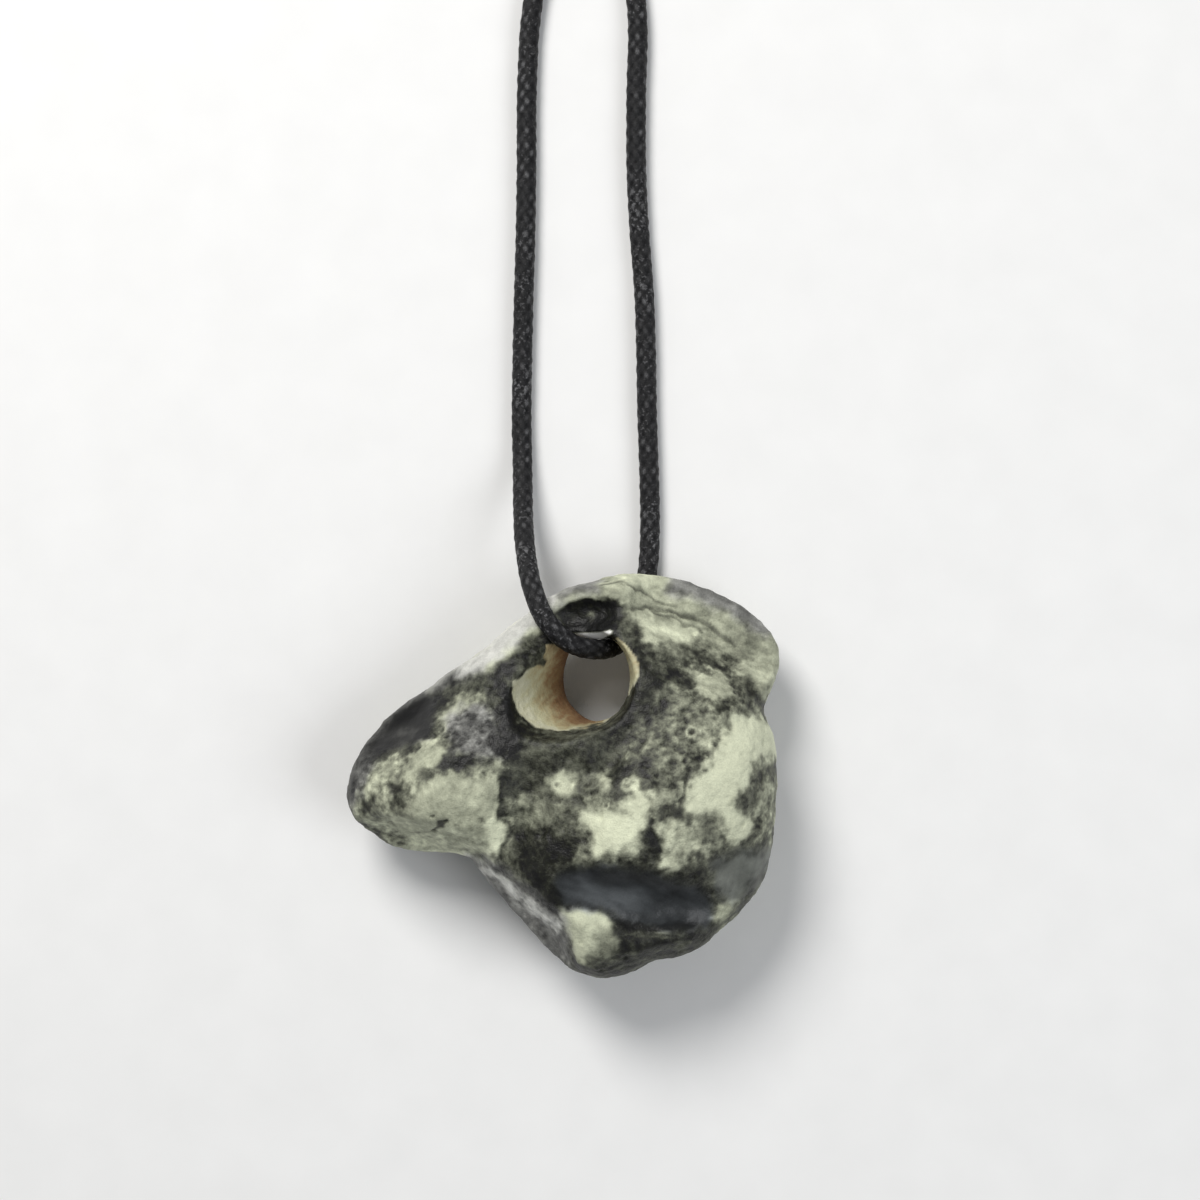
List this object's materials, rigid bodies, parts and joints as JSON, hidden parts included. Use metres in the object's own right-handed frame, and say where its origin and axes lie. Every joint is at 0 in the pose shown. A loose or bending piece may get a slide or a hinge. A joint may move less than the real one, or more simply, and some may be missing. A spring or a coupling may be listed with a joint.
{
  "type": "hag stone",
  "caption": "Irregular flint pebble with a natural hole worn through it, threaded on a thin waxed cord that is tied in a loop with a knot.",
  "frame": {"origin": "middle of the stone's outline seen from the front, on the surface that the stone lies on", "axes": "+Z out of the stone's front face, which looks up; +X to the right across that face; +Y towards the hole and along the cord's loop"},
  "size_m": [0.0433, 0.1319, 0.0177],
  "materials": {
    "flint": "weathered flint, mottled black and cream, with a smooth dark scar",
    "cord": "braided waxed cotton"
  },
  "bodies": {
    "root": {"stone": "flint", "cord": "cord", "knot": "cord"}
  },
  "joints": []
}
